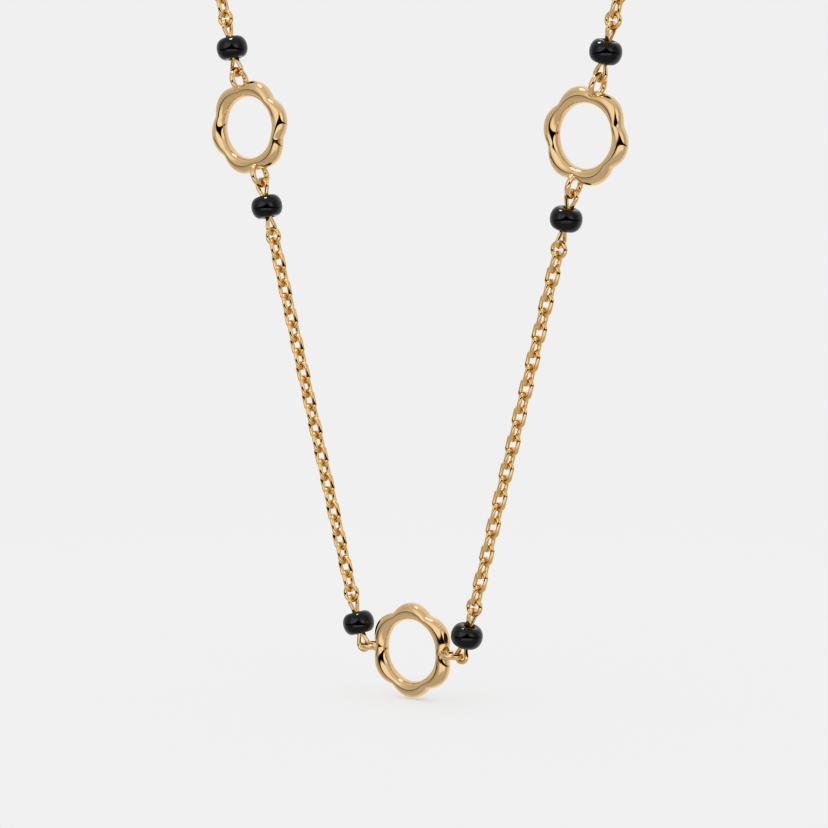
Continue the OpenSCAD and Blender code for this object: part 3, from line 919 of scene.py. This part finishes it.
# %% [markdown]
# The lines that the chains follow. The front chains are straight. A side chain runs straight up
# its arm and round the shoulder, and the same line goes on behind the neck to the clasp. The
# sideways direction starts square to the arms and is carried along the line without twist; from
# the shoulder on it is then turned a little at every step, so that the last link stands upright
# in the clasp's eye.


# %% The lines
def route_mesh(name, points, across):
    """A line of points as a mesh of edges, with the sideways direction at each."""
    mesh = bpy.data.meshes.new(name)
    mesh.from_pydata(points, [(k, k + 1) for k in range(len(points) - 1)], [])
    attribute = mesh.attributes.new("across", "FLOAT_VECTOR", "POINT")
    attribute.data.foreach_set("vector", [v for direction in across for v in direction])
    return mesh


def carried(points, first):
    """The sideways direction at each point, carried along the line without twist."""
    across = [first]
    for k in range(1, len(points)):
        after = (points[min(k + 1, len(points) - 1)] - points[k - 1]).normalized()
        turned = across[-1] - after * across[-1].dot(after)
        across.append(turned.normalized())
    return across


def smooth_between(p, t):
    """A point between the second and third of four points, on a smooth line through them all."""
    return 0.5 * (2 * p[1] + (p[2] - p[0]) * t + (2 * p[0] - 5 * p[1] + 4 * p[2] - p[3]) * t ** 2
                  + (3 * p[1] - p[0] - 3 * p[2] + p[3]) * t ** 3)


EYE_AT = CLASP_LENGTH / 2 + EYE_R
EYE_TIP = EYE_AT + EYE_R + EYE_WIRE / 2
LEAD = SHOULDER_R / 8
STEP, SPAN_STEPS, EYE_STEPS = 0.25, 20, 4
nape_end = Vector((EYE_TIP + NAPE_GAP, 0, 0))
nape_stops = [side_point(SIDE_LENGTH - LEAD) - NAPE_FROM_FLOWER,
              side_point(SIDE_LENGTH + NAPE_GAP) - NAPE_FROM_FLOWER]
nape_stops += [Vector((w * SIDE_END.x, -d * NAPE_BACK, -d * NAPE_RISE)) for w, d in NAPE_SHARES]
nape_stops += [nape_end, nape_end - Vector((LEAD, 0, 0))]
side_count = int((SIDE_LENGTH + NAPE_GAP) / STEP)
side_line = [side_point(k * (SIDE_LENGTH + NAPE_GAP) / side_count) - NAPE_FROM_FLOWER
             for k in range(side_count)]
nape_line = [smooth_between(nape_stops[k:k + 4], t / SPAN_STEPS)
             for k in range(len(nape_stops) - 3) for t in range(SPAN_STEPS)]
eye_middle = Vector((EYE_AT, 0, 0))
eye_line = [nape_end.lerp(eye_middle, k / EYE_STEPS) for k in range(EYE_STEPS + 1)]
whole_line = side_line + nape_line + eye_line
across_line = carried(whole_line, Vector((0, 1, 0)))
print("points on the line:", len(whole_line))

# %% How far the sideways direction turns behind the neck
last = across_line[-1]
short_turn = math.atan2(last.z, last.y)
quarters = round(short_turn / (math.pi / 2))
untwist = short_turn - quarters * math.pi / 2
first_nape = len(side_line)
for k in range(first_nape, len(whole_line)):
    share = (k - first_nape) / (len(whole_line) - first_nape - 1)
    along = (whole_line[min(k + 1, len(whole_line) - 1)] - whole_line[k - 1]).normalized()
    spin = Matrix.Rotation(untwist * share, 3, along)
    across_line[k] = spin @ across_line[k]
print("turned back by", round(math.degrees(untwist), 1), "degrees, quarters", quarters,
      "ends at", [round(v, 3) for v in across_line[-1]])

# %% [markdown]
# The links behind the neck. The last one hooks into the clasp's eye, so its place is known, and
# so is the place of the last link of the side chain. The stretch between them takes a whole
# number of links, and their pitch gives way by about a hundredth of a millimetre to fit.

# %% The links behind the neck
lengths = [0.0]
for before, after in zip(whole_line, whole_line[1:]):
    lengths.append(lengths[-1] + (after - before).length)
nape_first = RING_TO_LINK + SIDE_LINKS * PITCH
eye_wire_at = EYE_AT + EYE_R
last_link_x = eye_wire_at - EYE_WIRE / 2 - PLAY + LINK_REACH - LINK_WIRE / 2
end_index = max(k for k, point in enumerate(whole_line) if point.x > last_link_x)
last_link_along = lengths[end_index] + whole_line[end_index].x - last_link_x
nape_links = round((last_link_along - nape_first) / PITCH) + 1
nape_pitch = (last_link_along - nape_first + PITCH) / nape_links
nape_first = nape_first - PITCH + nape_pitch
print("links behind the neck on each side:", nape_links, "pitch", round(nape_pitch, 4))


# %% [markdown]
# The six chains. One tree serves them all: each has its line, its number of links, the place of
# its first one, and how many round end rings it has. They are made on the right side, and the
# left ones are mirrored when they are put in place. Links keep their flat faces, while the end
# rings are smooth.


# %% The six chains
def chain_values(links, first_place, pitch, end_rings):
    return {
        "Links": links, "First place": first_place, "Pitch": pitch, "First turned": 1,
        "End rings": end_rings, "Width": SHOWN_LINK_W, "Reach": SHOWN_REACH,
        "Wire": SHOWN_LINK, "Corner cut": SHOWN_CUT, "Ring radius": SHOWN_END_R, "Material": cut_gold,
    }


FRONT_PARTS = 4
front_line = [FRONT_START - NAPE_FROM_FLOWER + UP_ARM * FRONT_LENGTH * k / FRONT_PARTS
              for k in range(FRONT_PARTS + 1)]
front_across = [Vector((0, 1, 0))] * len(front_line)
CHAINS = {
    "front": (front_line, front_across, chain_values(FRONT_LINKS, RING_TO_LINK, PITCH, 2)),
    "side": (whole_line, across_line, chain_values(SIDE_LINKS, RING_TO_LINK, PITCH, 1)),
    "nape": (whole_line, across_line, chain_values(nape_links, nape_first, nape_pitch, 0)),
}
for which, (line, across, values) in CHAINS.items():
    for side, mirrored in SIDES:
        name = f"chain_{which}_{side}_links"
        links = grow(name, route_mesh("line", line, across), chain_tree, values)
        side_turn = Matrix.Scale(-1, 4, (1, 0, 0)) if mirrored else Matrix.Identity(4)
        smooth_faces = [face.use_smooth for face in links.polygons]
        settle(links, Matrix.Scale(MM, 4) @ side_turn)
        links.polygons.foreach_set("use_smooth", smooth_faces)
        show(name, links, "gold", f"chain_{which}_{side}")

# %% [markdown]
# The clasp. Behind the neck the two ends meet in a barrel clasp, two turned halves that screw
# together, with an eye at each end. It is turned on the same lathe as the beads: rounded
# shoulders, a fine groove where the halves meet, and two finer cuts on each side of it, which
# give the nails a hold.

# %% The clasp
BARREL_EDGE, BARREL_STEPS = 0.5, 64
GROOVE, GROOVE_HALF = 0.12, 0.09
NAIL_CUTS_AT, NAIL_CUT_HALF, NAIL_CUT_DEPTH = (2.1, 1.8), 0.1, 0.07
POLE_R, HOOP_POINTS = 0.0001, 48
half_length, barrel_r = CLASP_LENGTH / 2, CLASP_D / 2
shoulder = [
    (barrel_r - BARREL_EDGE + BARREL_EDGE * math.sin(math.radians(a)),
     half_length - BARREL_EDGE + BARREL_EDGE * math.cos(math.radians(a)))
    for a in range(0, 91, 10)
]
nail_cuts = []
for place in NAIL_CUTS_AT:
    nail_cuts.append((barrel_r, place + NAIL_CUT_HALF))
    nail_cuts.append((barrel_r - NAIL_CUT_DEPTH, place))
    nail_cuts.append((barrel_r, place - NAIL_CUT_HALF))
barrel_half = [(POLE_R, half_length)] + shoulder + nail_cuts + [(barrel_r, GROOVE_HALF)]
barrel_profile = barrel_half + [(barrel_r - GROOVE, 0)] + [(r, -z) for r, z in reversed(barrel_half)]
barrel = lathe("barrel", barrel_profile, BARREL_STEPS, closed=False)
barrel.transform(Matrix.Rotation(math.pi / 2, 4, "Y"))
eyes = []
for side in (-1, 1):
    circle = [
        Vector((side * EYE_AT + EYE_R * math.cos(a), EYE_R * math.sin(a), 0))
        for a in (math.tau * k / HOOP_POINTS for k in range(HOOP_POINTS))
    ]
    eyes.append(bent_wire("eye", circle, EYE_WIRE, cyclic=True))
clasp = join_meshes("clasp_barrel", [barrel] + eyes)
clasp.materials.append(polished_gold)
settle(clasp, Matrix.Scale(MM, 4))
show("clasp_barrel", clasp, "gold", "clasp")

# %% [markdown]
# The end. The imported part's box and the dressed necklace's box are printed side by side. The
# dressed necklace has to keep to the imported part's box.

# %% The two boxes
new_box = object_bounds()
for name, low, high in (("cad", *cad_box), ("visual", *new_box)):
    print(name, [round(v / MM, 2) for v in low], [round(v / MM, 2) for v in high])
